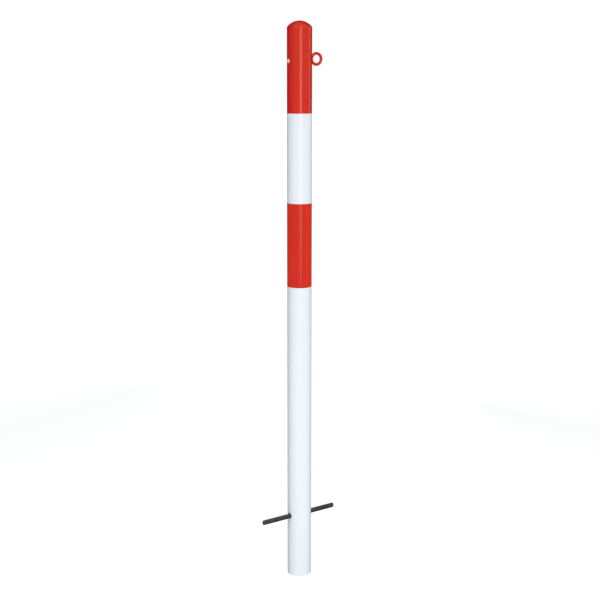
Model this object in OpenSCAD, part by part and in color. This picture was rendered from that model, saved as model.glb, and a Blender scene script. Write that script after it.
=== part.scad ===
// Barrier post for setting in concrete: a coated steel tube with a welded dome and chain eye,
// a vent plug, a band of reflective film and a loose anchor rod through the foot.
// The tube's axis is Z, its foot stands on Z = 0, and the anchor rod lies along X.

/* [Tube] */
// Outside diameter of the steel tube
post_d = 60.3; // [48:0.1:90]
// Wall thickness of the tube and of the dome
wall_t = 2.5; // [2:0.1:4]
// Height of the whole post, from the foot to the top of the dome
post_h = 1400; // [1100:5:1600]
// Bevel left where the sawn foot was deburred
foot_bevel = 0.4; // [0.2:0.1:0.8]

/* [Dome] */
// Rise of the domed end above the corner where it meets the tube's side
dome_h = 15; // [11:0.5:22]
// Radius that grinding leaves round that corner
dome_edge_r = 3; // [1:0.5:5]
// Straight rim under the dome, which is welded to the tube
dome_rim_h = 4; // [3:0.5:8]

/* [Colour fields] */
// Red paint, measured down from the top of the dome
red_top_h = 217; // [130:1:260]
// White gap between the red paint and the film band
white_gap_h = 216; // [120:1:260]
// Width of the reflective film band
film_h = 207; // [50:1:220]
// Thickness of the film
film_t = 0.3; // [0.2:0.05:0.6]
// Overlap of the film's two ends, measured round the post
film_lap = 12; // [5:1:30]
// Direction of that overlap, turned from the anchor rod's line
film_lap_turn = 60; // [20:5:160]

/* [Chain eye] */
// Diameter of the round bar that the eye is bent from
eye_bar_d = 7; // [5:0.5:8]
// Inside diameter of the eye
eye_in_d = 19; // [16:0.5:40]
// Height of the eye's centre, measured down from the top of the dome
eye_drop = 89; // [60:1:105]
// Turn of the eye round the post from the anchor rod's line
eye_turn = -6; // [-45:1:45]
// Depth that the bar beds into its weld
eye_bed = 0.6; // [0.2:0.1:1]
// Radius of the weld bead on each side of the bar
weld_r = 4.7; // [4.2:0.1:5.5]
// Length of the weld bead up the post
weld_l = 18; // [12:1:22]

/* [Vent plug] */
// Diameter of the plug's head
plug_head_d = 10; // [9:0.5:14]
// Rise of the head above the tube's wall
plug_head_h = 2; // [1:0.25:3]
// Height of the straight edge round the head
plug_edge_h = 0.6; // [0.3:0.1:0.8]
// Diameter of the vent hole that the plug closes, opposite the eye
vent_d = 7; // [5:0.5:7.5]
// Height of the vent hole, measured down from the top of the dome
vent_drop = 94; // [60:1:105]

/* [Anchor rod] */
// Diameter of the round steel bar
rod_d = 12; // [8:1:12]
// Length of the bar
rod_l = 216; // [150:1:300]
// Diameter of the two holes that the bar lies in
rod_hole_d = 14; // [13:0.5:18]
// Height of those holes' centres above the foot
rod_hole_z = 162; // [80:1:300]
// Distance that the bar has slid along its holes from the middle
rod_slip = -2; // [-10:0.5:10]
// Bevel round the bar's sheared ends
rod_bevel = 0.8; // [0.4:0.1:1.5]

/* [Hidden] */
$fn = 96;

post_r = post_d / 2;
bore_r = post_r - wall_t;

// The dome is part of a sphere. A ring of dome_edge_r blends it into the tube's side, and the
// middle of that ring's section lies on the line from the sphere's centre to where they meet.
dome_r = (post_r * post_r + dome_h * dome_h) / (2 * dome_h);
dome_centre_z = post_h - dome_r;
edge_x = post_r - dome_edge_r;
edge_rise = sqrt(pow(dome_r - dome_edge_r, 2) - edge_x * edge_x);
edge_z = dome_centre_z + edge_rise;
tube_h = post_h - dome_h - dome_rim_h;

paint_z = post_h - red_top_h;
film_z = paint_z - white_gap_h - film_h;
film_lap_angle = film_lap / (PI * post_d) * 360;

eye_bar_r = eye_bar_d / 2;
eye_ring_r = eye_in_d / 2 + eye_bar_r;
eye_x = post_r + eye_ring_r + eye_bar_r - eye_bed;
eye_z = post_h - eye_drop;

vent_r = vent_d / 2;
vent_z = post_h - vent_drop;
plug_turn = eye_turn + 180;
plug_head_r = plug_head_d / 2;
plug_top_x = post_r + plug_head_h;
plug_crown = plug_head_h - plug_edge_h;
plug_crown_r = (plug_head_r * plug_head_r + plug_crown * plug_crown) / (2 * plug_crown);
plug_play = 0.1;
// The lip behind the wall is wider than the hole, so the plug holds once it is pushed in.
lip_r = vent_r + 0.4;
lip_x = sqrt(bore_r * bore_r - lip_r * lip_r) - plug_play;
plug_tip_l = 6;

// The bar rests on the lower edge of its holes.
rod_r = rod_d / 2;
rod_z = rod_hole_z - (rod_hole_d / 2 - rod_r);

// Overshoot of a cutting tool past the face that it cuts
cut = 1;

white_coat = "#F1F6FB";
red_paint = "#CF3528";
red_film = "#D23528";
white_plastic = "#F4F2EE";
rolled_steel = "#4A4E4F";

// Places a shape on the post's side, with the shape's own X pointing out of the wall.
module on_side(turn, z) {
    rotate([0, 0, turn])
        translate([0, 0, z])
            children();
}

// Round bar or bore that lies along X
module along_x(r, x_from, x_to) {
    translate([x_from, 0, 0])
        rotate([0, 90, 0])
            cylinder(r = r, h = x_to - x_from);
}

// Section of the tube's wall with its deburred foot
module foot_section(h) {
    polygon([
        [bore_r + foot_bevel, 0],
        [post_r - foot_bevel, 0],
        [post_r, foot_bevel],
        [post_r, h],
        [bore_r, h],
        [bore_r, foot_bevel]
    ]);
}

// One length of steel tube, coated white and painted red above the paint line
module post_tube() {
    difference() {
        union() {
            color(white_coat)
                rotate_extrude()
                    foot_section(paint_z);
            color(red_paint)
                translate([0, 0, paint_z])
                    difference() {
                        cylinder(r = post_r, h = tube_h - paint_z);
                        translate([0, 0, -cut])
                            cylinder(r = bore_r, h = tube_h - paint_z + 2 * cut);
                    }
        }
        translate([0, 0, rod_hole_z])
            along_x(rod_hole_d / 2, -post_r - cut, post_r + cut);
        on_side(plug_turn, vent_z)
            along_x(vent_r, bore_r / 2, post_r + cut);
    }
}

// Outline of the dome seen from the side: the sphere, the ground corner and the straight rim
module dome_outline() {
    intersection() {
        translate([0, dome_centre_z])
            circle(r = dome_r);
        polygon([
            [0, dome_centre_z],
            [2 * edge_x, dome_centre_z + 2 * edge_rise],
            [0, dome_centre_z + 2 * dome_r]
        ]);
    }
    translate([edge_x, edge_z])
        circle(r = dome_edge_r);
    translate([0, tube_h])
        square([post_r, edge_z - tube_h]);
}

// Pressed steel cap, welded to the tube's end and ground flush
module dome_cap() {
    color(red_paint)
        rotate_extrude()
            difference() {
                intersection() {
                    dome_outline();
                    translate([0, tube_h])
                        square([post_r + cut, post_h]);
                }
                intersection() {
                    translate([0, dome_centre_z])
                        circle(r = dome_r - wall_t);
                    translate([0, tube_h - cut])
                        square([bore_r, post_h]);
                }
            }
}

// Closed ring of round bar that stands in a plane through the post's axis, with its weld
module chain_eye() {
    color(red_paint)
        on_side(eye_turn, eye_z)
            difference() {
                union() {
                    translate([eye_x, 0, 0])
                        rotate([90, 0, 0])
                            rotate_extrude()
                                translate([eye_ring_r, 0])
                                    circle(r = eye_bar_r);
                    weld_bead();
                }
                translate([0, 0, -post_r])
                    cylinder(r = post_r, h = post_d);
            }
}

// Bead with round ends, centred on the wall where the ring touches it
module weld_bead() {
    half_l = weld_l / 2 - weld_r;
    translate([post_r, 0, -half_l])
        cylinder(r = weld_r, h = 2 * half_l);
    for (end = [-half_l, half_l])
        translate([post_r, 0, end])
            sphere(r = weld_r);
}

// Low domed head of the plug before its back is cut to the tube, with its axis along X
module plug_head() {
    rotate([0, 90, 0])
        rotate_extrude()
            intersection() {
                translate([0, plug_top_x - plug_crown_r])
                    circle(r = plug_crown_r);
                translate([0, post_r - cut])
                    square([plug_head_r, plug_top_x]);
            }
}

// Snap-in plastic plug: a head seated on the tube, a stem through the wall and a tapered lip
module vent_plug() {
    color(white_plastic)
        on_side(plug_turn, vent_z) {
            difference() {
                plug_head();
                translate([0, 0, -post_r])
                    cylinder(r = post_r, h = post_d);
            }
            along_x(vent_r - plug_play, lip_x, post_r + plug_edge_h / 2);
            translate([lip_x, 0, 0])
                rotate([0, -90, 0])
                    cylinder(r1 = lip_r, r2 = vent_r / 2, h = plug_tip_l);
        }
}

// Film wrapped once round the post, with its end lapped over its start
module reflective_band() {
    color(red_film)
        translate([0, 0, film_z]) {
            film_wrap(post_r, 0, 360);
            film_wrap(post_r + film_t, film_lap_turn - film_lap_angle / 2, film_lap_angle);
        }
}

// One layer of film on radius r, from the angle start over the angle sweep
module film_wrap(r, start, sweep) {
    rotate([0, 0, start])
        rotate_extrude(angle = sweep)
            translate([r, 0])
                square([film_t, film_h]);
}

// Sheared round bar that lies loose in the tube's two cross holes
module anchor_rod() {
    color(rolled_steel)
        translate([rod_slip - rod_l / 2, 0, rod_z])
            rotate([0, 90, 0])
                rotate_extrude()
                    polygon([
                        [0, 0],
                        [rod_r - rod_bevel, 0],
                        [rod_r, rod_bevel],
                        [rod_r, rod_l - rod_bevel],
                        [rod_r - rod_bevel, rod_l],
                        [0, rod_l]
                    ]);
}

post_tube();
dome_cap();
chain_eye();
vent_plug();
reflective_band();
anchor_rod();
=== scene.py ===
"""Barrier post, dressed for its picture: six pieces of coated steel, film and plastic, on a pale floor."""
import math

import bmesh
import bpy
from mathutils import Matrix, Quaternion, Vector, noise


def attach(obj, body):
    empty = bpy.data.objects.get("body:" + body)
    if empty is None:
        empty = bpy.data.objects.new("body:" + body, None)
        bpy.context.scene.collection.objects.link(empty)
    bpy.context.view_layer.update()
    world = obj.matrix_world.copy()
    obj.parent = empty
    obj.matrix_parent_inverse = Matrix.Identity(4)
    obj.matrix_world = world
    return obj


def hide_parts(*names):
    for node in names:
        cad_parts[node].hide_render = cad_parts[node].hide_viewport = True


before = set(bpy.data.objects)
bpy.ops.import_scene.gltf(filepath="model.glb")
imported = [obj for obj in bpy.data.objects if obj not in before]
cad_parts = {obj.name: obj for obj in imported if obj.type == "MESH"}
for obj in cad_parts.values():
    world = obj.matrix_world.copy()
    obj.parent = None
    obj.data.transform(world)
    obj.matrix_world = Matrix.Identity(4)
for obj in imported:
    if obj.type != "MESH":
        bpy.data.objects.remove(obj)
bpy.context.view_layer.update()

MM = 0.001

# Sizes of the pieces in metres, and their turns round the post in degrees, the same as the CAD's
TUBE_R = 30.15 * MM
WALL_T = 2.5 * MM
BORE_R = TUBE_R - WALL_T
FOOT_BEVEL = 0.4 * MM
POST_H = 1400.0 * MM
DOME_H = 15.0 * MM
DOME_RIM_H = 4.0 * MM
DOME_EDGE_R = 3.0 * MM
TUBE_H = POST_H - DOME_H - DOME_RIM_H
PAINT_Z = POST_H - 217.0 * MM
FILM_HIGH = PAINT_Z - 216.0 * MM
FILM_LOW = FILM_HIGH - 207.0 * MM
FILM_T = 0.3 * MM
FILM_LAP_MIDDLE = 60.0
FILM_LAP_SWEEP = math.degrees(12.0 * MM / TUBE_R)
ROD_R = 6.0 * MM
ROD_L = 216.0 * MM
ROD_SLIP = -2.0 * MM
ROD_LEFT = ROD_SLIP - ROD_L / 2
ROD_RIGHT = ROD_SLIP + ROD_L / 2
ROD_HOLE_R = 7.0 * MM
ROD_HOLE_Z = 162.0 * MM
ROD_Z = ROD_HOLE_Z - (ROD_HOLE_R - ROD_R)
VENT_R = 3.5 * MM
VENT_Z = POST_H - 94.0 * MM
PLUG_R = 5.0 * MM
PLUG_RISE = 2.0 * MM
PLUG_EDGE_H = 0.6 * MM
PLUG_CROWN = PLUG_RISE - PLUG_EDGE_H
EYE_TURN = -6.0
EYE_BAR_R = 3.5 * MM
EYE_RING_R = 9.5 * MM + EYE_BAR_R
EYE_BED = 0.6 * MM
EYE_X = TUBE_R + EYE_RING_R + EYE_BAR_R - EYE_BED
EYE_Z = POST_H - 89.0 * MM
PLUG_TURN = EYE_TURN + 180.0


# Finishes

RED_ENAMEL = "#DD2A1F"
RED_ENAMEL_THIN = "#D8271D"
RED_FILM = "#E23626"
RED_FILM_CELL = "#DC3122"
# Darker red of the thin line drawn along the film's lapped end
FILM_EDGE_DARK = "#8E2A20"
WHITE_POWDER = "#F4FAFE"
WHITE_POWDER_COOL = "#EFF6FE"
RUBBED_GREY = "#B7BCBE"
ZINC = "#A3A8A8"
ZINC_DULL = "#868B8C"
NATURAL_PLASTIC = "#E9E4E0"
NATURAL_PLASTIC_PALE = "#F2EEEA"
MILL_SCALE = "#32383A"
MILL_SCALE_WORN = "#50585A"
THIN_RUST = "#5F4434"
SHEARED_STEEL = "#6F604E"
FILM_SHEEN = "#FFC8B0"

POWDER_ROUGH = 0.27
ZINC_ROUGH = 0.5


def linear(hex_colour):
    """An sRGB hex colour as linear red, green and blue, with full alpha."""
    parts = [int(hex_colour[i:i + 2], 16) / 255 for i in (1, 3, 5)]
    return [p / 12.92 if p <= 0.04045 else ((p + 0.055) / 1.055) ** 2.4 for p in parts] + [1.0]


def add_node(tree, kind, inputs=None, **settings):
    """Adds a shader node. Each input is a value or another node's output, under its socket's name or number.
    A Mix node's numbers are 0 for the share of the second, 2 and 3 for two values, and 6 and 7 for two
    colours. Its output 2 is the mixed colour. A Math or VectorMath node's numbers are 0 and 1."""
    made = tree.nodes.new("ShaderNode" + kind)
    for name, value in settings.items():
        setattr(made, name, value)
    for name, value in (inputs or {}).items():
        if isinstance(value, bpy.types.NodeSocket):
            tree.links.new(value, made.inputs[name])
        else:
            made.inputs[name].default_value = value
    return made


def per_size(size_mm):
    """Texture scale at which one blotch, cell or ripple measures so many millimetres."""
    return 1.0 / (size_mm * MM)


def start_finish(name):
    """An empty finish and its node tree."""
    finish = bpy.data.materials.new(name)
    finish.use_nodes = True
    tree = finish.node_tree
    tree.nodes.clear()
    return finish, tree


def own_place(tree):
    """The piece's own place, in metres from the foot of the post."""
    return add_node(tree, "TexCoord").outputs["Object"]


def close_finish(tree, inputs):
    """Ends a finish in one shader."""
    shader = add_node(tree, "BsdfPrincipled", inputs)
    add_node(tree, "OutputMaterial", {"Surface": shader.outputs["BSDF"]})


def red_coat(tree, place):
    """Colour and surface of the sprayed red enamel. It wets out to a gloss, with a fine peel that only the
    highlights show, and it is a little thinner in soft clouds where the gun passed quicker."""
    clouds = add_node(tree, "TexNoise", {"Vector": place, "Scale": per_size(45), "Detail": 2.0})
    colour = add_node(tree, "Mix", {0: clouds.outputs["Fac"], 6: linear(RED_ENAMEL_THIN),
                                    7: linear(RED_ENAMEL)}, data_type="RGBA")
    gloss = add_node(tree, "MapRange", {"Value": clouds.outputs["Fac"], "To Min": 0.16, "To Max": 0.20})
    peel = add_node(tree, "TexNoise", {"Vector": place, "Scale": per_size(3), "Detail": 1.0})
    return colour.outputs[2], gloss.outputs[0], peel.outputs["Fac"]


def powder_coated_steel():
    """Steel tube in baked polyester powder. The powder flows into an even satin skin with orange peel about
    3 mm across. Above the paint line it is masked and sprayed red, and the bore keeps its dull zinc."""
    finish, tree = start_finish("powder_coated_steel")
    place = own_place(tree)
    axes = add_node(tree, "SeparateXYZ", {0: place}).outputs
    clouds = add_node(tree, "TexNoise", {"Vector": place, "Scale": per_size(70), "Detail": 3.0})
    white = add_node(tree, "Mix", {0: clouds.outputs["Fac"], 6: linear(WHITE_POWDER_COOL),
                                   7: linear(WHITE_POWDER)}, data_type="RGBA")
    # The bar rubs the coat grey close round its two holes.
    across = add_node(tree, "VectorMath", {0: place, 1: (0.0, 0.0, -ROD_HOLE_Z)}, operation="ADD")
    across = add_node(tree, "VectorMath", {0: across.outputs[0], 1: (0.0, 1.0, 1.0)}, operation="MULTIPLY")
    from_hole = add_node(tree, "VectorMath", {0: across.outputs[0]}, operation="LENGTH")
    near_hole = add_node(tree, "MapRange", {"Value": from_hole.outputs["Value"],
                                            "From Min": ROD_HOLE_R + 1.6 * MM,
                                            "From Max": ROD_HOLE_R - 0.4 * MM})
    scuffs = add_node(tree, "TexNoise", {"Vector": place, "Scale": per_size(1.2), "Detail": 4.0})
    scuffs = add_node(tree, "MapRange", {"Value": scuffs.outputs["Fac"], "From Min": 0.45, "From Max": 0.65})
    rubbed = add_node(tree, "Math", {0: near_hole.outputs[0], 1: scuffs.outputs[0]}, operation="MULTIPLY")
    white = add_node(tree, "Mix", {0: rubbed.outputs[0], 6: white.outputs[2], 7: linear(RUBBED_GREY)},
                     data_type="RGBA")
    # The masking tape leaves an edge that wanders by about a fifth of a millimetre.
    creep = add_node(tree, "TexNoise", {"Vector": place, "Scale": per_size(9), "Detail": 2.0})
    creep = add_node(tree, "MapRange", {"Value": creep.outputs["Fac"], "To Min": -0.2 * MM,
                                        "To Max": 0.2 * MM})
    height = add_node(tree, "Math", {0: axes["Z"], 1: creep.outputs[0]}, operation="ADD")
    painted = add_node(tree, "MapRange", {"Value": height.outputs[0], "From Min": PAINT_Z - 0.05 * MM,
                                          "From Max": PAINT_Z + 0.05 * MM})
    red, red_gloss, red_peel = red_coat(tree, place)
    coat = add_node(tree, "Mix", {0: painted.outputs[0], 6: white.outputs[2], 7: red}, data_type="RGBA")
    coat_rough = add_node(tree, "Mix", {0: painted.outputs[0], 2: POWDER_ROUGH, 3: red_gloss},
                          data_type="FLOAT")
    # Only the outside is coated, so the bore shows zinc in dull flowers about 7 mm across.
    flat = add_node(tree, "VectorMath", {0: place, 1: (1.0, 1.0, 0.0)}, operation="MULTIPLY")
    from_axis = add_node(tree, "VectorMath", {0: flat.outputs[0]}, operation="LENGTH")
    in_bore = add_node(tree, "Math", {0: from_axis.outputs["Value"], 1: BORE_R + 0.05 * MM},
                       operation="LESS_THAN")
    flowers = add_node(tree, "TexVoronoi", {"Vector": place, "Scale": per_size(7)})
    zinc = add_node(tree, "Mix", {0: flowers.outputs["Color"], 6: linear(ZINC_DULL), 7: linear(ZINC)},
                    data_type="RGBA")
    colour = add_node(tree, "Mix", {0: in_bore.outputs[0], 6: coat.outputs[2], 7: zinc.outputs[2]},
                      data_type="RGBA")
    rough = add_node(tree, "Mix", {0: in_bore.outputs[0], 2: coat_rough.outputs[0], 3: ZINC_ROUGH},
                     data_type="FLOAT")
    peel = add_node(tree, "TexNoise", {"Vector": place, "Scale": per_size(3), "Detail": 1.0})
    peel = add_node(tree, "Mix", {0: painted.outputs[0], 2: peel.outputs["Fac"], 3: red_peel},
                    data_type="FLOAT")
    skin = add_node(tree, "Bump", {"Height": peel.outputs[0], "Distance": 0.012 * MM})
    skin = add_node(tree, "Bump", {"Height": painted.outputs[0], "Distance": 0.08 * MM,
                                   "Normal": skin.outputs[0]})
    close_finish(tree, {"Base Color": colour.outputs[2], "Roughness": rough.outputs[0],
                        "Metallic": in_bore.outputs[0], "Normal": skin.outputs[0]})
    return finish


def sprayed_enamel():
    """Gloss red enamel over bare welded steel. Beside the dome's seam, the rings that the grinding disc left
    show faintly through it."""
    finish, tree = start_finish("sprayed_enamel")
    place = own_place(tree)
    red, gloss, peel = red_coat(tree, place)
    # Drawn out across the post and not up it, so the marks run round as rings
    flat = add_node(tree, "VectorMath", {0: place, 1: (0.05, 0.05, 1.0)}, operation="MULTIPLY")
    disc_marks = add_node(tree, "TexNoise", {"Vector": flat.outputs[0], "Scale": per_size(0.7),
                                             "Detail": 2.0})
    axes = add_node(tree, "SeparateXYZ", {0: place}).outputs
    from_seam = add_node(tree, "Math", {0: axes["Z"], 1: TUBE_H}, operation="SUBTRACT")
    from_seam = add_node(tree, "Math", {0: from_seam.outputs[0]}, operation="ABSOLUTE")
    ground = add_node(tree, "MapRange", {"Value": from_seam.outputs[0], "From Min": 5.0 * MM,
                                         "From Max": 2.0 * MM, "To Max": 0.5})
    marks = add_node(tree, "Math", {0: disc_marks.outputs["Fac"], 1: ground.outputs[0]},
                     operation="MULTIPLY")
    skin = add_node(tree, "Bump", {"Height": peel, "Distance": 0.012 * MM})
    skin = add_node(tree, "Bump", {"Height": marks.outputs[0], "Distance": 0.01 * MM,
                                   "Normal": skin.outputs[0]})
    close_finish(tree, {"Base Color": red, "Roughness": gloss, "Normal": skin.outputs[0]})
    return finish


def acrylic_film():
    """Reflective sheeting: a clear acrylic face over tiny glass beads. By day it is an even red with a soft
    sheen. The beads are a tenth of a millimetre, drawn here 1.1 mm across so that a near view shows them."""
    finish, tree = start_finish("acrylic_film")
    place = own_place(tree)
    beads = add_node(tree, "TexVoronoi", {"Vector": place, "Scale": per_size(1.1)})
    colour = add_node(tree, "Mix", {0: beads.outputs["Distance"], 6: linear(RED_FILM),
                                    7: linear(RED_FILM_CELL)}, data_type="RGBA")
    # A thin darker line runs along the edge where the lapped end stops.
    turn = math.radians(FILM_LAP_MIDDLE + FILM_LAP_SWEEP / 2)
    along = add_node(tree, "VectorMath", {0: place, 1: (-math.sin(turn), math.cos(turn), 0.0)},
                     operation="DOT_PRODUCT")
    along = add_node(tree, "Math", {0: along.outputs["Value"]}, operation="ABSOLUTE")
    outward = add_node(tree, "VectorMath", {0: place, 1: (math.cos(turn), math.sin(turn), 0.0)},
                       operation="DOT_PRODUCT")
    this_side = add_node(tree, "Math", {0: outward.outputs["Value"], 1: 0.0}, operation="GREATER_THAN")
    line = add_node(tree, "MapRange", {"Value": along.outputs[0], "From Min": 0.6 * MM, "From Max": 0.1 * MM,
                                       "To Max": 0.7})
    darker_edge = add_node(tree, "Math", {0: line.outputs[0], 1: this_side.outputs[0]}, operation="MULTIPLY")
    colour = add_node(tree, "Mix", {0: darker_edge.outputs[0], 6: colour.outputs[2], 7: linear(FILM_EDGE_DARK)},
                      data_type="RGBA")
    waves = add_node(tree, "TexNoise", {"Vector": place, "Scale": per_size(12), "Detail": 1.0})
    rough = add_node(tree, "MapRange", {"Value": waves.outputs["Fac"], "To Min": 0.15, "To Max": 0.22})
    skin = add_node(tree, "Bump", {"Height": waves.outputs["Fac"], "Distance": 0.03 * MM})
    skin = add_node(tree, "Bump", {"Height": beads.outputs["Distance"], "Distance": 0.002 * MM,
                                   "Normal": skin.outputs[0]})
    close_finish(tree, {"Base Color": colour.outputs[2], "Roughness": rough.outputs[0],
                        "Specular IOR Level": 0.3, "Diffuse Roughness": 1.0, "Sheen Weight": 0.1,
                        "Sheen Roughness": 0.4, "Sheen Tint": linear(FILM_SHEEN), "Normal": skin.outputs[0]})
    return finish


def moulded_polyethylene():
    """Natural polyethylene from a spark-eroded mould: milky, waxy and dull. Its grain is drawn 0.4 mm
    across, because the real one of a tenth of that wouldn't show."""
    finish, tree = start_finish("moulded_polyethylene")
    place = own_place(tree)
    grain = add_node(tree, "TexNoise", {"Vector": place, "Scale": per_size(0.4), "Detail": 2.0})
    clouds = add_node(tree, "TexNoise", {"Vector": place, "Scale": per_size(4), "Detail": 2.0})
    colour = add_node(tree, "Mix", {0: clouds.outputs["Fac"], 6: linear(NATURAL_PLASTIC),
                                    7: linear(NATURAL_PLASTIC_PALE)}, data_type="RGBA")
    rough = add_node(tree, "MapRange", {"Value": grain.outputs["Fac"], "To Min": 0.36, "To Max": 0.5})
    skin = add_node(tree, "Bump", {"Height": grain.outputs["Fac"], "Distance": 0.02 * MM})
    close_finish(tree, {"Base Color": colour.outputs[2], "Roughness": rough.outputs[0],
                        "Subsurface Weight": 0.12, "Subsurface Radius": (0.9, 0.9, 0.85),
                        "Subsurface Scale": 1.0 * MM, "Normal": skin.outputs[0]})
    return finish


def hot_rolled_bar():
    """Hot-rolled round bar, left as it came from the mill. Dark blue-grey scale covers it, with paler worn
    patches drawn out along the bar and a breath of rust. The sheared ends are bare steel gone brown."""
    finish, tree = start_finish("hot_rolled_bar")
    place = own_place(tree)
    drawn = add_node(tree, "VectorMath", {0: place, 1: (0.3, 1.0, 1.0)}, operation="MULTIPLY")
    patches = add_node(tree, "TexNoise", {"Vector": drawn.outputs[0], "Scale": per_size(5), "Detail": 5.0,
                                          "Roughness": 0.65})
    worn = add_node(tree, "MapRange", {"Value": patches.outputs["Fac"], "From Min": 0.35, "From Max": 0.65})
    scale = add_node(tree, "Mix", {0: worn.outputs[0], 6: linear(MILL_SCALE), 7: linear(MILL_SCALE_WORN)},
                     data_type="RGBA")
    spots = add_node(tree, "TexNoise", {"Vector": place, "Scale": per_size(3.5), "Detail": 6.0})
    rusted = add_node(tree, "MapRange", {"Value": spots.outputs["Fac"], "From Min": 0.60, "From Max": 0.75,
                                         "To Max": 0.35})
    colour = add_node(tree, "Mix", {0: rusted.outputs[0], 6: scale.outputs[2], 7: linear(THIN_RUST)},
                      data_type="RGBA")
    axes = add_node(tree, "SeparateXYZ", {0: place}).outputs
    from_middle = add_node(tree, "Math", {0: axes["X"], 1: (ROD_LEFT + ROD_RIGHT) / 2}, operation="SUBTRACT")
    from_middle = add_node(tree, "Math", {0: from_middle.outputs[0]}, operation="ABSOLUTE")
    half = (ROD_RIGHT - ROD_LEFT) / 2
    cut_end = add_node(tree, "MapRange", {"Value": from_middle.outputs[0], "From Min": half - 1.3 * MM,
                                          "From Max": half - 0.5 * MM})
    colour = add_node(tree, "Mix", {0: cut_end.outputs[0], 6: colour.outputs[2], 7: linear(SHEARED_STEEL)},
                      data_type="RGBA")
    rough = add_node(tree, "MapRange", {"Value": patches.outputs["Fac"], "To Min": 0.6, "To Max": 0.38})
    skin = add_node(tree, "Bump", {"Height": patches.outputs["Fac"], "Distance": 0.12 * MM})
    close_finish(tree, {"Base Color": colour.outputs[2], "Roughness": rough.outputs[0], "Metallic": 0.45,
                        "Normal": skin.outputs[0]})
    return finish


# Pieces

def make_piece(name, points, faces, finish, cad_node, crease=35.0):
    """Makes a smooth piece from points and faces in metres. It stands for its CAD node and rides with it."""
    mesh = bpy.data.meshes.new(name)
    mesh.from_pydata(points, [], faces)
    skin = bmesh.new()
    skin.from_mesh(mesh)
    bmesh.ops.remove_doubles(skin, verts=skin.verts, dist=0.001 * MM)
    bmesh.ops.recalc_face_normals(skin, faces=skin.faces)
    skin.to_mesh(mesh)
    skin.free()
    mesh.shade_smooth()
    mesh.set_sharp_from_angle(angle=math.radians(crease))
    mesh.materials.append(finish)
    piece = bpy.data.objects.new(name, mesh)
    bpy.context.scene.collection.objects.link(piece)
    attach(piece, "root")
    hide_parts(cad_node)
    return piece


def join_rings(faces, first, second):
    """Adds a closed band of faces between two rings of as many points."""
    n = len(first)
    for i in range(n):
        j = (i + 1) % n
        faces.append((first[i], first[j], second[j], second[i]))


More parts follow.
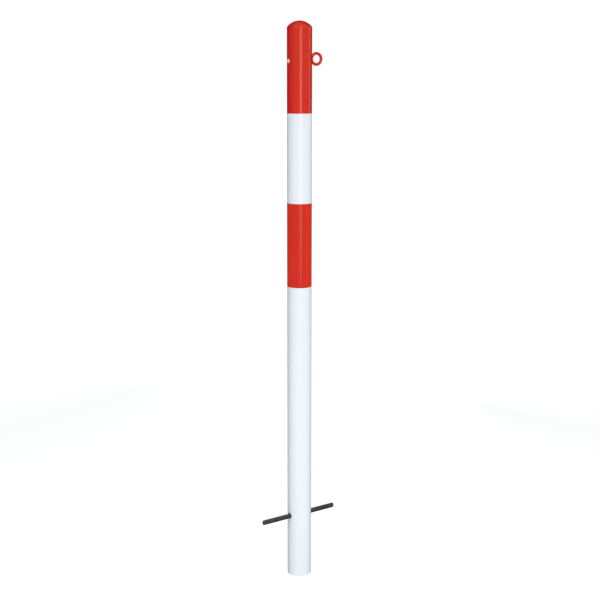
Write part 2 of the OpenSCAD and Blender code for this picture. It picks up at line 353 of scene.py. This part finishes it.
def drill_tube(finish):
    """The coated tube with its drilled holes. The coat rounds each hole's outer edge by half a millimetre.
    The tube is a grid of columns and rows, closed in round each hole."""
    columns = 180
    turn_step = 2 * math.pi / columns
    row_step = TUBE_R * turn_step
    coat_round = 0.5 * MM
    round_steps = 4
    foot_steps = 3
    # Shares of the way from the even grid to the round edge of a hole
    closing_in = (0.3, 0.55, 0.75, 0.9, 1.0)
    # Each hole: its middle column, how many columns and rows it takes to each side, its height, its radius
    holes = [
        (0, 10, ROD_HOLE_Z, ROD_HOLE_R),
        (columns // 2, 10, ROD_HOLE_Z, ROD_HOLE_R),
        (round(math.radians(PLUG_TURN) / turn_step), 6, VENT_Z, VENT_R),
    ]

    def level(middle_z, k):
        """Height of the grid's row k from a hole's middle, rounded so that it can be looked up."""
        return round(middle_z + row_step * k, 7)

    levels = {FOOT_BEVEL, FILM_LOW, FILM_HIGH, PAINT_Z, TUBE_H}
    # More rows, so that no face gets too long
    levels |= {60 * MM, 110 * MM, 400 * MM, 1260 * MM, 1350 * MM}
    for middle, span, z, r in holes:
        levels |= {level(z, k) for k in range(-span, span + 1)}
    levels = sorted(levels)
    points = []
    faces = []

    def put(r, turn, z):
        points.append((r * math.cos(turn), r * math.sin(turn), z))
        return len(points) - 1

    def wall(wall_r, edge_round):
        """One face of the wall. Gives its rows, and for each hole the ring of points round its edge."""
        rows = [[put(wall_r, c * turn_step, z) for c in range(columns)] for z in levels]
        drilled = set()
        rims = []
        for middle, span, z0, hole_r in holes:
            base = levels.index(level(z0, -span))
            edge = [(-span + i, 0) for i in range(2 * span)]
            edge += [(span, i) for i in range(2 * span)]
            edge += [(span - i, 2 * span) for i in range(2 * span)]
            edge += [(-span, 2 * span - i) for i in range(2 * span)]
            drilled |= {((middle + c) % columns, base + k)
                        for c in range(-span, span) for k in range(2 * span)}
            leans = [math.atan2(row_step * (k - span), row_step * c) for c, k in edge]
            ring = [rows[base + k][(middle + c) % columns] for c, k in edge]
            turn0 = middle * turn_step
            reach = hole_r + edge_round
            for share in closing_in:
                inner = []
                for (c, k), lean in zip(edge, leans):
                    side = math.asin(reach * math.cos(lean) / wall_r)
                    turn = turn_step * c * (1 - share) + side * share
                    rise = row_step * (k - span) * (1 - share) + reach * math.sin(lean) * share
                    inner.append(put(wall_r, turn0 + turn, z0 + rise))
                join_rings(faces, ring, inner)
                ring = inner
            rims.append((ring, leans, turn0, z0, hole_r))
        for k in range(len(levels) - 1):
            for c in range(columns):
                if (c, k) not in drilled:
                    d = (c + 1) % columns
                    faces.append((rows[k][c], rows[k][d], rows[k + 1][d], rows[k + 1][c]))
        return rows, rims

    outer_rows, outer_rims = wall(TUBE_R, coat_round)
    inner_rows, inner_rims = wall(BORE_R, 0.0)
    for rim, inner_rim in zip(outer_rims, inner_rims):
        ring, leans, turn0, z0, hole_r = rim
        for step in range(1, round_steps + 1):
            bend = math.pi / 2 * step / round_steps
            reach = hole_r + coat_round * (1 - math.sin(bend))
            sunk = coat_round * (1 - math.cos(bend))
            lower = []
            for lean in leans:
                y = reach * math.cos(lean)
                x = math.sqrt(TUBE_R ** 2 - y ** 2) - sunk
                lower.append(put(math.hypot(x, y), turn0 + math.atan2(y, x), z0 + reach * math.sin(lean)))
            join_rings(faces, ring, lower)
            ring = lower
        join_rings(faces, ring, inner_rim[0])
    # Deburred foot, rounded by the coat outside, and the square end under the dome
    ring = outer_rows[0]
    for step in range(1, foot_steps + 1):
        bend = math.pi / 2 * step / foot_steps
        r = TUBE_R - FOOT_BEVEL * (1 - math.cos(bend))
        z = FOOT_BEVEL * (1 - math.sin(bend))
        lower = [put(r, c * turn_step, z) for c in range(columns)]
        join_rings(faces, ring, lower)
        ring = lower
    lower = [put(BORE_R + FOOT_BEVEL, c * turn_step, 0.0) for c in range(columns)]
    join_rings(faces, ring, lower)
    join_rings(faces, lower, inner_rows[0])
    join_rings(faces, outer_rows[-1], inner_rows[-1])
    return make_piece("drilled_tube", points, faces, finish, "post_tube")


def press_dome(finish):
    """The pressed cap: part of a sphere, blended into the tube's side by the corner that grinding left."""
    columns = 180
    corner_steps = 8
    crown_steps = 28
    inside_steps = 16
    dome_r = (TUBE_R ** 2 + DOME_H ** 2) / (2 * DOME_H)
    centre_z = POST_H - dome_r
    corner_x = TUBE_R - DOME_EDGE_R
    corner_z = centre_z + math.sqrt((dome_r - DOME_EDGE_R) ** 2 - corner_x ** 2)
    lean = math.atan2(corner_x, corner_z - centre_z)
    profile = [(TUBE_R, TUBE_H)]
    for k in range(corner_steps + 1):
        b = (math.pi / 2 - lean) * k / corner_steps
        profile.append((corner_x + DOME_EDGE_R * math.cos(b), corner_z + DOME_EDGE_R * math.sin(b)))
    for k in range(1, crown_steps + 1):
        b = lean * (1 - k / crown_steps)
        profile.append((dome_r * math.sin(b), centre_z + dome_r * math.cos(b)))
    inner_r = dome_r - WALL_T
    inner_lean = math.asin(BORE_R / inner_r)
    for k in range(inside_steps + 1):
        b = inner_lean * k / inside_steps
        profile.append((inner_r * math.sin(b), centre_z + inner_r * math.cos(b)))
    profile.append((BORE_R, TUBE_H))
    points = []
    for r, z in profile:
        for c in range(columns):
            a = 2 * math.pi * c / columns
            points.append((r * math.cos(a), r * math.sin(a), z))
    rings = [[k * columns + c for c in range(columns)] for k in range(len(profile))]
    faces = []
    for first, second in zip(rings, rings[1:] + rings[:1]):
        join_rings(faces, first, second)
    return make_piece("pressed_dome", points, faces, finish, "dome_cap")


def snap_plug(finish):
    """The vent plug: a low head with a rounded rim and a small gate mark in its middle, seated on the tube's
    curve, with its stem and its tapered lip behind the wall."""
    around_plug = 72
    crown_steps = 8
    rim_steps = 4
    play = 0.1 * MM
    tip_l = 6.0 * MM
    place = Matrix.Translation((0.0, 0.0, VENT_Z)) @ Matrix.Rotation(math.radians(PLUG_TURN), 4, "Z")
    crown_r = (PLUG_R ** 2 + PLUG_CROWN ** 2) / (2 * PLUG_CROWN)
    top = TUBE_R + PLUG_RISE
    # The gate mark is a ring-shaped dip round a small pip: radius and depth, in millimetres
    gate_mark = ((0.2, 0.05), (0.35, 0.08), (0.5, 0.16), (0.65, 0.14), (0.8, 0.03))
    profile = [(r * MM, top - depth * MM) for r, depth in gate_mark]
    crown_from = profile[-1][0]
    rim_round = 0.45 * MM
    rim = PLUG_R - rim_round
    for k in range(1, crown_steps + 1):
        r = crown_from + (rim - crown_from) * k / crown_steps
        profile.append((r, top - crown_r + math.sqrt(crown_r ** 2 - r ** 2)))
    shoulder = profile[-1][1]
    for step in range(1, rim_steps + 1):
        bend = math.pi / 2 * step / rim_steps
        profile.append((rim + rim_round * math.sin(bend), shoulder - rim_round * (1 - math.cos(bend))))
    stem_r = VENT_R - play
    lip_r = VENT_R + 0.4 * MM
    lip_x = math.sqrt(BORE_R ** 2 - lip_r ** 2) - play
    # Where no distance is given, the ring lies on the tube's curve.
    profile += [(PLUG_R, None), (stem_r, None), (stem_r, lip_x), (lip_r, lip_x), (VENT_R / 2, lip_x - tip_l)]
    points = []
    rings = []
    for r, out in profile:
        ring = []
        for k in range(around_plug):
            a = 2 * math.pi * k / around_plug
            y = r * math.cos(a)
            x = math.sqrt(TUBE_R ** 2 - y ** 2) if out is None else out
            points.append((place @ Vector((x, y, r * math.sin(a))))[:])
            ring.append(len(points) - 1)
        rings.append(ring)
    faces = []
    for first, second in zip(rings, rings[1:]):
        join_rings(faces, first, second)
    faces.append(tuple(rings[0]))
    faces.append(tuple(rings[-1]))
    return make_piece("snap_plug", points, faces, finish, "vent_plug", crease=40.0)


def wrap_film(finish):
    """The film, wrapped once round the tube. Its free end climbs over the start and lies flat on it."""
    steps = 256
    # The film's back stands this far off the tube, so that the two faces don't show through each other.
    held_off = 0.01 * MM
    start = FILM_LAP_MIDDLE - FILM_LAP_SWEEP / 2
    sweep = 360.0 + FILM_LAP_SWEEP
    # The free end climbs within these degrees before it meets the start.
    climb_from = -4.0
    climb_to = -0.4
    points = []
    faces = []
    for i in range(steps + 1):
        turn = start + sweep * i / steps
        past_start = turn - (start + 360.0)
        climb = min(max((past_start - climb_from) / (climb_to - climb_from), 0.0), 1.0)
        climb = climb * climb * (3 - 2 * climb)
        inner = TUBE_R + held_off + FILM_T * climb
        outer = inner + FILM_T - held_off
        a = math.radians(turn)
        for r, z in ((inner, FILM_LOW), (outer, FILM_LOW), (outer, FILM_HIGH), (inner, FILM_HIGH)):
            points.append((r * math.cos(a), r * math.sin(a), z))
    for i in range(steps):
        for k in range(4):
            m = (k + 1) % 4
            faces.append((4 * i + k, 4 * i + m, 4 * i + 4 + m, 4 * i + 4 + k))
    faces.append((0, 1, 2, 3))
    faces.append(tuple(4 * steps + k for k in (3, 2, 1, 0)))
    return make_piece("wrapped_film", points, faces, finish, "reflective_band")


def shear_bar(finish):
    """The bar, a little uneven from rolling. Its ends are sheared, so each face leans, and its edge is
    rolled over on the side where the blade went in and sharper on the other."""
    around_bar = 56
    along_bar = 150
    # Rings gather towards the ends, where the shape changes.
    gather = 0.145
    lean = 0.9 * MM
    roll_over = 1.3 * MM
    sharp_share = 0.25
    drawn_in = 0.14
    # Dents from rolling, long ones and short ones: how close they lie along a metre of bar and round it
    long_along = 90
    long_round = 1.1
    short_along = 400
    short_round = 3.0
    short_share = 0.5
    # Keeps the short dents from following the long ones
    short_shift = 7
    under_size = 0.048 * MM
    dent_depth = 0.03 * MM
    points = []
    faces = []
    for i in range(along_bar + 1):
        share = i / along_bar
        share = share - gather * math.sin(2 * math.pi * share)
        for k in range(around_bar):
            a = 2 * math.pi * k / around_bar
            dy = math.cos(a)
            dz = math.sin(a)
            # How rolled over each end's edge is here, from 1 where the blade went in to a quarter
            entry = (1 + dz) / 2
            soft_left = sharp_share + (1 - sharp_share) * entry
            soft_right = sharp_share + (1 - sharp_share) * (1 - entry)
            left = ROD_LEFT + lean * entry
            right = ROD_RIGHT - lean * (1 - entry)
            x = left + (right - left) * share
            from_left = min((x - left) / (roll_over * soft_left), 1.0)
            from_right = min((right - x) / (roll_over * soft_right), 1.0)
            edge = 1.0
            for near in (from_left, from_right):
                edge *= 1 - drawn_in * (1 - math.sqrt(max(1 - (1 - near) ** 2, 0.0)))
            long_dent = Vector((x * long_along, dy * long_round, dz * long_round))
            short_dent = Vector((x * short_along, dy * short_round + short_shift, dz * short_round))
            dent = noise.noise(long_dent) + short_share * noise.noise(short_dent)
            r = ROD_R * edge - under_size - dent_depth * dent
            points.append((x, r * dy, ROD_Z + r * dz))
    for i in range(along_bar):
        ring = [i * around_bar + k for k in range(around_bar)]
        join_rings(faces, ring, [v + around_bar for v in ring])
    # Each cut face is smooth where the blade went in and torn beyond that, with dents about 2 mm across.
    face_rings = (0.94, 0.86, 0.76, 0.65, 0.53, 0.41, 0.29, 0.18, 0.08)
    tear_soft = 1.5 * MM
    dents = 500
    torn_dents = 1500
    torn_share = 0.35
    torn_shift = 5
    cut_depth = 0.22 * MM
    for row, inward, middle_x in ((0, 1, ROD_LEFT + lean / 2), (along_bar, -1, ROD_RIGHT - lean / 2)):
        edge = [row * around_bar + k for k in range(around_bar)]
        outer = edge
        for share in face_rings:
            inner = []
            for v in edge:
                x, y, z = points[v]
                y *= share
                rise = (z - ROD_Z) * share
                tear = 0.5 - 0.5 * math.tanh(inward * rise / tear_soft)
                dent = 0.5 + 0.5 * noise.noise(Vector((y * dents, rise * dents, row)))
                torn = Vector((y * torn_dents, rise * torn_dents, row + torn_shift))
                dent += torn_share * tear * noise.noise(torn)
                sunk = cut_depth * dent * math.sqrt(1 - share ** 2)
                points.append((middle_x + (x - middle_x) * share + inward * sunk, y, ROD_Z + rise))
                inner.append(len(points) - 1)
            join_rings(faces, outer, inner)
            outer = inner
        faces.append(tuple(outer))
    return make_piece("sheared_bar", points, faces, finish, "anchor_rod", crease=40.0)


def bend_eye(grow, place):
    """The ring of round bar, standing in a plane through the post's axis."""
    ring_steps = 120
    bar_steps = 36
    rings = []
    for i in range(ring_steps):
        a = 2 * math.pi * i / ring_steps
        ring = []
        for k in range(bar_steps):
            b = 2 * math.pi * k / bar_steps
            reach = EYE_RING_R + EYE_BAR_R * math.cos(b)
            x = EYE_X + reach * math.cos(a)
            z = EYE_Z + reach * math.sin(a)
            ring.append(grow.verts.new(place @ Vector((x, EYE_BAR_R * math.sin(b), z))))
        rings.append(ring)
    for i in range(ring_steps):
        for k in range(bar_steps):
            j = (i + 1) % ring_steps
            m = (k + 1) % bar_steps
            grow.faces.new((rings[i][k], rings[i][m], rings[j][m], rings[j][k]))


def lay_weld(grow, place):
    """The weld, one drop for each ripple: a run on each side of the bar, and a drop that closes each end."""
    ripple = 1.6 * MM
    ripples_each_way = 4
    drop_r = 2.25 * MM
    out_of_wall = 0.9 * MM
    climb_share = 0.55
    beside_bar = 2.35 * MM
    runs_meet_z = 14.0 * MM
    drops = []
    for k in range(-ripples_each_way, ripples_each_way + 1):
        z = ripple * k
        gap = EYE_X - math.sqrt(EYE_RING_R ** 2 - z ** 2) - EYE_BAR_R - TUBE_R
        x = TUBE_R + out_of_wall + max(gap, 0.0) * climb_share
        for side in (-1, 1):
            drops.append((x, side * beside_bar * (1 - (z / runs_meet_z) ** 2), z, drop_r))
    end_r = 2.05 * MM
    end_out = 1.4 * MM
    end_z = 6.9 * MM
    for z in (-end_z, end_z):
        drops.append((TUBE_R + end_out, 0.0, z, end_r))
    for x, y, z, r in drops:
        spot = place @ Matrix.Translation((x, y, EYE_Z + z))
        bmesh.ops.create_icosphere(grow, subdivisions=4, radius=r, matrix=spot)


def weld_eye(finish):
    """The chain eye and its weld. The weld is laid in short overlapping runs on both sides of the bar, which
    leave ripples about 1.6 mm apart, and the enamel softens the corners between bar and bead."""
    place = Matrix.Rotation(math.radians(EYE_TURN), 4, "Z")
    grow = bmesh.new()
    bend_eye(grow, place)
    lay_weld(grow, place)
    mesh = bpy.data.meshes.new("eye_parts")
    bmesh.ops.recalc_face_normals(grow, faces=grow.faces)
    grow.to_mesh(mesh)
    grow.free()
    rough = bpy.data.objects.new("eye_parts", mesh)
    bpy.context.scene.collection.objects.link(rough)
    fuse = rough.modifiers.new("fuse", "REMESH")
    fuse.mode = "VOXEL"
    fuse.voxel_size = 0.28 * MM
    soften = rough.modifiers.new("soften", "SMOOTH")
    soften.factor = 0.5
    soften.iterations = 6
    fused = bpy.data.meshes.new_from_object(rough.evaluated_get(bpy.context.evaluated_depsgraph_get()))
    bpy.data.objects.remove(rough)
    # What reaches into the tube's wall is pushed out again, to just below its surface.
    bed_r = TUBE_R - 0.05 * MM
    points = []
    for v in fused.vertices:
        spot = v.co.copy()
        from_axis = math.hypot(spot.x, spot.y)
        if from_axis < bed_r:
            spot.x *= bed_r / from_axis
            spot.y *= bed_r / from_axis
        points.append(spot[:])
    faces = [tuple(f.vertices) for f in fused.polygons]
    bpy.data.meshes.remove(fused)
    return make_piece("welded_eye", points, faces, finish, "chain_eye", crease=80.0)


enamel = sprayed_enamel()
drill_tube(powder_coated_steel())
press_dome(enamel)
snap_plug(moulded_polyethylene())
wrap_film(acrylic_film())
shear_bar(hot_rolled_bar())
weld_eye(enamel)


# Camera

CAMERA_TURN = -34.51
CAMERA_TILT = 11.677
CAMERA_FAR = 2.7961
CAMERA_H = 1.3023
CAMERA_YAW = -0.0312
CAMERA_ROLL = 0.036
FOCAL_PX = 1148.6
IMAGE_PX = 600.0
SENSOR_MM = 36.0

to_camera = Vector((math.sin(math.radians(CAMERA_TURN)), -math.cos(math.radians(CAMERA_TURN)), 0.0))
to_right = Vector((-to_camera.y, to_camera.x, 0.0))


def around(turn, far, height):
    """A place that far from the post's axis, turned so many degrees to the right of the camera."""
    a = math.radians(turn)
    return to_camera * (far * math.cos(a)) + to_right * (far * math.sin(a)) + Vector((0.0, 0.0, height))


def take_camera():
    """The photograph's viewpoint, found from the tube's width and the curves of its colour edges."""
    lens = bpy.data.cameras.new("camera")
    lens.sensor_width = SENSOR_MM
    lens.lens = FOCAL_PX / IMAGE_PX * SENSOR_MM
    camera = bpy.data.objects.new("camera", lens)
    bpy.context.scene.collection.objects.link(camera)
    tilt = math.radians(CAMERA_TILT)
    sight = -to_camera * math.cos(tilt) - Vector((0.0, 0.0, math.sin(tilt)))
    yaw = Quaternion((0.0, 0.0, 1.0), math.radians(CAMERA_YAW))
    roll = Quaternion((0.0, 0.0, 1.0), math.radians(CAMERA_ROLL))
    camera.rotation_mode = "QUATERNION"
    camera.rotation_quaternion = yaw @ sight.to_track_quat("-Z", "Y") @ roll
    camera.location = to_camera * CAMERA_FAR + Vector((0.0, 0.0, CAMERA_H))
    bpy.context.scene.camera = camera


take_camera()


# Studio

def hang_lamp(name, turn, far, height, wide, tall, level, tint="#FFFFFF"):
    """A soft upright panel lamp that faces the post. At level 1 the panel itself is as bright as white."""
    light = bpy.data.lights.new(name, "AREA")
    light.shape = "RECTANGLE"
    light.size = wide
    light.size_y = tall
    light.energy = level * math.pi * wide * tall
    light.color = linear(tint)[:3]
    lamp = bpy.data.objects.new(name, light)
    bpy.context.scene.collection.objects.link(lamp)
    lamp.location = around(turn, far, height)
    lamp.rotation_mode = "QUATERNION"
    lamp.rotation_quaternion = (Vector((0.0, 0.0, height)) - lamp.location).to_track_quat("-Z", "Y")
    lamp.visible_camera = False
    return lamp


def plain_cloth(name, colour):
    """Dull studio cloth."""
    finish, tree = start_finish(name)
    close_finish(tree, {"Base Color": linear(colour), "Roughness": 0.9, "Specular IOR Level": 0.0})
    return finish


def glowing_panel(name, colour, level):
    """A lit panel face. At level 1 it is as bright as white."""
    finish, tree = start_finish(name)
    glow = add_node(tree, "Emission", {"Color": linear(colour), "Strength": level})
    add_node(tree, "OutputMaterial", {"Surface": glow.outputs[0]})
    return finish


def stage_piece(name, points, faces, *finishes):
    """Adds a piece of the studio, which isn't part of the post."""
    mesh = bpy.data.meshes.new(name)
    mesh.from_pydata([tuple(p) for p in points], [], faces)
    for finish in finishes:
        mesh.materials.append(finish)
    made = bpy.data.objects.new(name, mesh)
    bpy.context.scene.collection.objects.link(made)
    return made


def stand_flag(name, turn, far, wide, tall, cloth):
    """A tall dark board beside the post, out of the picture, which gives the pale tube its darker edges."""
    middle = around(turn, far, 0.0)
    along = Vector((-middle.y, middle.x, 0.0)).normalized() * (wide / 2)
    up = Vector((0.0, 0.0, tall))
    board = stage_piece(name, [middle - along, middle + along, middle + along + up, middle - along + up],
                        [(0, 1, 2, 3)], cloth)
    board.visible_camera = False


def seen_directly(tree):
    """1 for what the camera sees, also in gloss or through something clear, and 0 for plain lighting."""
    rays = add_node(tree, "LightPath").outputs
    seen = add_node(tree, "Math", {0: rays["Is Camera Ray"], 1: rays["Is Glossy Ray"]}, operation="ADD")
    seen = add_node(tree, "Math", {0: seen.outputs[0], 1: rays["Is Transmission Ray"]}, operation="ADD",
                    use_clamp=True)
    return seen.outputs[0]


def lay_floor():
    """A pale floor that shows as white and keeps the post's faint shadow."""
    finish, tree = start_finish("pale_floor")
    seen = seen_directly(tree)
    pale = add_node(tree, "Mix", {0: seen, 6: linear("#DADADA"), 7: linear("#8C8C8C")}, data_type="RGBA")
    matt = add_node(tree, "BsdfDiffuse", {"Color": pale.outputs[2]})
    # The glow and the light on the darker grey add up to white where no shadow falls.
    own_glow = 0.86
    shown = add_node(tree, "Math", {0: seen, 1: own_glow}, operation="MULTIPLY")
    glow = add_node(tree, "Emission", {"Strength": shown.outputs[0]})
    both = add_node(tree, "AddShader", {0: matt.outputs[0], 1: glow.outputs[0]})
    # From below the floor is clear, so that the open foot can be looked into.
    side = add_node(tree, "NewGeometry").outputs
    clear = add_node(tree, "BsdfTransparent")
    laid = add_node(tree, "MixShader", {0: side["Backfacing"], 1: both.outputs[0], 2: clear.outputs[0]})
    add_node(tree, "OutputMaterial", {"Surface": laid.outputs[0]})
    half = 30.0
    corners = [(-half, -half, 0.0), (half, -half, 0.0), (half, half, 0.0), (-half, half, 0.0)]
    return stage_piece("floor", corners, [(0, 1, 2, 3)], finish)


def build_room(black_cloth):
    """The studio round the post, which only gloss shows. Behind the post it is dark, with a blue wall on the
    left. In front it has warm walls below a pale glow. A brighter slot overhead draws the thin arc on the
    dome's edge, and a tall one on the right draws the line along that side of the enamel."""
    finishes = (
        black_cloth,
        plain_cloth("warm_wall", "#B4A66C"),
        glowing_panel("pale_ceiling", "#FFF1D4", 1.8),
        glowing_panel("overhead_glow", "#FFECCE", 4.4),
        glowing_panel("side_glow", "#FFE7BC", 2.3),
        plain_cloth("blue_wall", "#0A1460"),
        plain_cloth("tan_ceiling", "#E6C07F"),
    )
    black, warm, pale, overhead, beside, blue, tan = range(len(finishes))
    steps = 180
    # The floor starts just outside the film, and both it and the ceiling are flat.
    floor_z = 0.002
    floor_from = TUBE_R + 0.5 * MM
    wall_far = 3.6
    wall_low = 0.85
    wall_high = 1.8
    ceiling_z = 3.4
    ceiling_in = 1.3
    ceiling_hole = 0.01
    rings = ((floor_from, floor_z), (wall_far, floor_z), (wall_far, wall_low), (wall_far, wall_high),
             (wall_far, ceiling_z), (ceiling_in, ceiling_z), (ceiling_hole, ceiling_z))
    points = [around(360 * i / steps, far, z) for far, z in rings for i in range(steps)]
    faces = []
    looks = []
    for i in range(steps):
        j = (i + 1) % steps
        turn = (360 * (i + 0.5) / steps + 180) % 360 - 180
        # The look of each band between two rings, from the floor to the middle of the ceiling
        if -60 < turn < 95:
            low = warm
        elif -130 < turn < -78:
            low = blue
        else:
            low = black
        high = pale if -60 < turn < 45 else low
        if 5 < turn < 20:
            high = overhead
        bands = (black, low, low, high, high, tan)
        if 100 < turn < 110:
            bands = (black, low, beside, beside, beside, tan)
        for k, look in enumerate(bands):
            faces.append((k * steps + i, k * steps + j, (k + 1) * steps + j, (k + 1) * steps + i))
            looks.append(look)
    room = stage_piece("dark_room", points, faces, *finishes)
    for face, look in zip(room.data.polygons, looks):
        face.material_index = look
    room.visible_camera = False
    room.visible_diffuse = False
    room.visible_transmission = False
    room.visible_shadow = False


def light_studio(floor):
    """A white surround gives most of the light. One low soft panel fills the foot from the front, another
    keeps the back of the post from going grey, and a slim strip right of the camera draws the highlight."""
    surround = bpy.data.worlds.new("surround")
    bpy.context.scene.world = surround
    surround.use_nodes = True
    tree = surround.node_tree
    tree.nodes.clear()
    shade = add_node(tree, "Mix", {0: seen_directly(tree), 6: linear("#EBF0F6"), 7: linear("#FFFFFF")},
                     data_type="RGBA")
    white = add_node(tree, "Background", {"Color": shade.outputs[2], "Strength": 1.0})
    add_node(tree, "OutputWorld", {"Surface": white.outputs[0]})
    fill = hang_lamp("low_fill", turn=5, far=1.6, height=0.13, wide=1.6, tall=0.24, level=5.2,
                     tint="#FFF9F7")
    back = hang_lamp("back_fill", turn=180, far=3.4, height=0.8, wide=0.3, tall=1.6, level=26.0)
    hang_lamp("slim_strip", turn=11.8, far=2.6, height=0.93, wide=0.72, tall=1.25, level=3.2,
              tint="#FFF0D1")
    # The floor is kept out of the two fills' light, which would make it shine round the post's edges.
    unlit = bpy.data.collections.new("kept_from_the_fills")
    unlit.objects.link(floor)
    unlit.collection_objects[0].light_linking.link_state = "EXCLUDE"
    for lamp in (fill, back):
        lamp.visible_glossy = False
        lamp.light_linking.receiver_collection = unlit


black_cloth = plain_cloth("black_cloth", "#141414")
floor = lay_floor()
build_room(black_cloth)
stand_flag("left_flag", turn=-131, far=1.6, wide=2.0, tall=2.6, cloth=black_cloth)
stand_flag("right_flag", turn=141, far=1.6, wide=0.8, tall=2.6, cloth=black_cloth)
light_studio(floor)
bpy.context.scene.view_settings.view_transform = "Standard"
